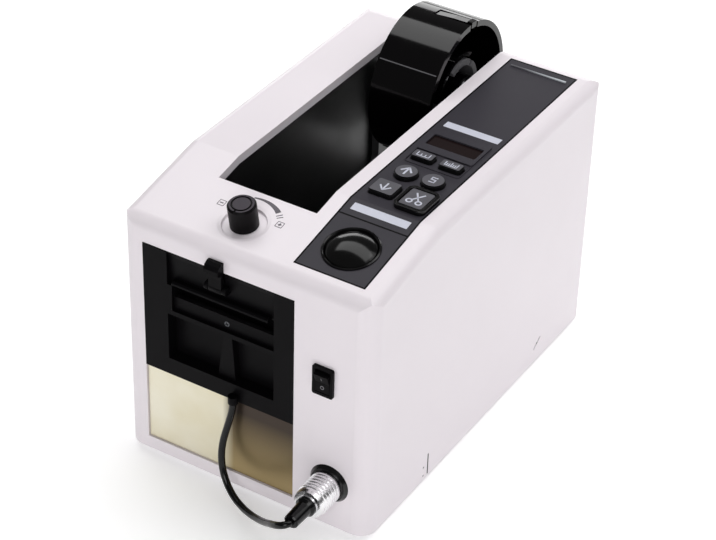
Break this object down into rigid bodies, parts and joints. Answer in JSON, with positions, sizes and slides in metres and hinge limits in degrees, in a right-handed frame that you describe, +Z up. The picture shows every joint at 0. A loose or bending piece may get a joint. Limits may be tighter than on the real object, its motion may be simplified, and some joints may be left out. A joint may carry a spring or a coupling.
{
  "type": "electric tape dispenser",
  "caption": "White desktop electric tape dispenser with an open tape channel and reel, a sloping key panel, a speed knob and a motor-driven feed and cutter module.",
  "frame": {"origin": "middle of the object's plan, on the table under its feet", "axes": "+Z up, front face and cutter towards -Y, +X to the right seen from the front"},
  "size_m": [0.135, 0.2577, 0.1689],
  "materials": {
    "white_shell": "fine satin moulded plastic, warm white",
    "base_steel": "grey powder coat",
    "foot_rubber": "soft black rubber",
    "screw_steel": "zinc plated",
    "black_plastic": "black satin plastic",
    "panel_grey": "dark grey gloss film",
    "smoked_lens": "smoked display window",
    "display_black": "black digit block",
    "board_green": "green circuit board",
    "gloss_black": "glossy black plastic",
    "switch_black": "black phenolic",
    "gold_plate": "brushed pale gold plate",
    "sheet_steel": "plain sheet steel",
    "guard_metal": "satin bar",
    "blade_steel": "ground blade steel",
    "motor_metal": "motor casing",
    "key_grey": "grey keycap",
    "roller_rubber": "grippy roller rubber",
    "gear_white": "natural acetal",
    "pinion_brass": "machined brass",
    "carrier_grey": "glass filled plastic",
    "plug_metal": "nickel plated",
    "cable_black": "black cable jacket"
  },
  "bodies": {
    "body": {"housing": "white_shell", "base_plate": "base_steel", "rubber_feet": "foot_rubber", "base_screws": "screw_steel", "channel_liner": "black_plastic", "reel_cradles": "black_plastic", "control_panel": "panel_grey", "start_panel": "panel_grey", "display_lens": "smoked_lens", "display_bezel": "panel_grey", "cut_frame": "gloss_black", "display_unit": "display_black", "control_board": "board_green", "key_switches": "switch_black", "start_bezel": "gloss_black", "start_switch": "switch_black", "knob_control": "black_plastic", "switch_frame": "black_plastic", "connector_socket": "black_plastic", "mains_inlet": "black_plastic", "face_plate": "gold_plate", "module_bezel": "black_plastic", "module_chassis": "sheet_steel", "tape_guide": "black_plastic", "guard_bar": "guard_metal", "fixed_blade": "blade_steel", "feed_motor": "motor_metal", "cutter_motor": "motor_metal", "power_supply": "sheet_steel", "plug_core": "plug_metal", "cable_boot": "cable_black", "sensor_cable": "cable_black"},
    "axle": {"reel_axle": "sheet_steel"},
    "reel": {"reel_drum": "gloss_black", "reel_spring": "gloss_black"},
    "start": {"start_button": "gloss_black"},
    "unit_cap": {"unit_key": "key_grey"},
    "mode_cap": {"mode_key": "key_grey"},
    "up_cap": {"up_key": "key_grey"},
    "program_cap": {"program_key": "key_grey"},
    "down_cap": {"down_key": "key_grey"},
    "cut_cap": {"cut_key": "key_grey"},
    "rocker": {"power_rocker": "gloss_black"},
    "knob": {"speed_knob": "gloss_black"},
    "feed": {"feed_roller": "roller_rubber", "feed_gear": "gear_white"},
    "pressure": {"pressure_roller": "roller_rubber"},
    "pinion": {"drive_pinion": "pinion_brass"},
    "blade": {"moving_blade": "blade_steel", "blade_carrier": "carrier_grey"},
    "cut_drive": {"cutter_pinion": "pinion_brass"},
    "latch": {"module_latch": "gloss_black"},
    "ring": {"plug_ring": "plug_metal"}
  },
  "joints": [
    {"name": "reel_lift", "type": "slide", "parent": "body", "child": "axle", "axis": [0, 0, 1], "range_m": [0, 0.05]},
    {"name": "reel_spin", "type": "hinge", "parent": "axle", "child": "reel", "pos_m": [-0.0088, 0.0773, 0.1305], "axis": [1, 0, 0], "continuous": true},
    {"name": "start_press", "type": "slide", "parent": "body", "child": "start", "axis": [0, 0.1854, -0.9827], "range_m": [0, 0.0025], "stiffness_N_per_m": 600},
    {"name": "unit_press", "type": "slide", "parent": "body", "child": "unit_cap", "axis": [0, 0, -1], "range_m": [0, 0.0008], "stiffness_N_per_m": 500},
    {"name": "mode_press", "type": "slide", "parent": "body", "child": "mode_cap", "axis": [0, 0, -1], "range_m": [0, 0.0008], "stiffness_N_per_m": 500},
    {"name": "up_press", "type": "slide", "parent": "body", "child": "up_cap", "axis": [0, 0, -1], "range_m": [0, 0.0008], "stiffness_N_per_m": 500},
    {"name": "program_press", "type": "slide", "parent": "body", "child": "program_cap", "axis": [0, 0, -1], "range_m": [0, 0.0008], "stiffness_N_per_m": 500},
    {"name": "down_press", "type": "slide", "parent": "body", "child": "down_cap", "axis": [0, 0, -1], "range_m": [0, 0.0008], "stiffness_N_per_m": 500},
    {"name": "cut_press", "type": "slide", "parent": "body", "child": "cut_cap", "axis": [0, 0, -1], "range_m": [0, 0.0008], "stiffness_N_per_m": 500},
    {"name": "power_rock", "type": "hinge", "parent": "body", "child": "rocker", "pos_m": [0.043, -0.105, 0.085], "axis": [-1, 0, 0], "range_deg": [0, 20]},
    {"name": "knob_turn", "type": "hinge", "parent": "body", "child": "knob", "pos_m": [-0.01225, -0.08705, 0.13778], "axis": [0, -0.1854, 0.9827], "range_deg": [-140, 140]},
    {"name": "feed_spin", "type": "hinge", "parent": "body", "child": "feed", "pos_m": [-0.014, -0.085, 0.09035], "axis": [1, 0, 0], "continuous": true},
    {"name": "pressure_spin", "type": "hinge", "parent": "body", "child": "pressure", "pos_m": [-0.014, -0.085, 0.10565], "axis": [1, 0, 0], "continuous": true},
    {"name": "pinion_spin", "type": "hinge", "parent": "body", "child": "pinion", "pos_m": [0.02, -0.07686, 0.07566], "axis": [1, 0, 0], "continuous": true},
    {"name": "blade_stroke", "type": "slide", "parent": "body", "child": "blade", "axis": [0, 0, -1], "range_m": [0, 0.01]},
    {"name": "cutter_turn", "type": "hinge", "parent": "body", "child": "cut_drive", "pos_m": [-0.047, -0.087, 0.11835], "axis": [1, 0, 0], "range_deg": [0, 103]},
    {"name": "latch_pull", "type": "hinge", "parent": "body", "child": "latch", "pos_m": [-0.0142, -0.1062, 0.1125], "axis": [1, 0, 0], "range_deg": [0, 12], "stiffness_Nm_per_rad": 0.05},
    {"name": "ring_turn", "type": "hinge", "parent": "body", "child": "ring", "pos_m": [0.0468, -0.116, 0.0275], "axis": [0, -1, 0], "range_deg": [0, 270]}
  ],
  "couplings": [
    {"joint": "pressure_spin", "follows": "feed_spin", "ratio": -1.5},
    {"joint": "pinion_spin", "follows": "feed_spin", "ratio": -2},
    {"joint": "cutter_turn", "follows": "blade_stroke", "rad_per_m": 178.57}
  ]
}
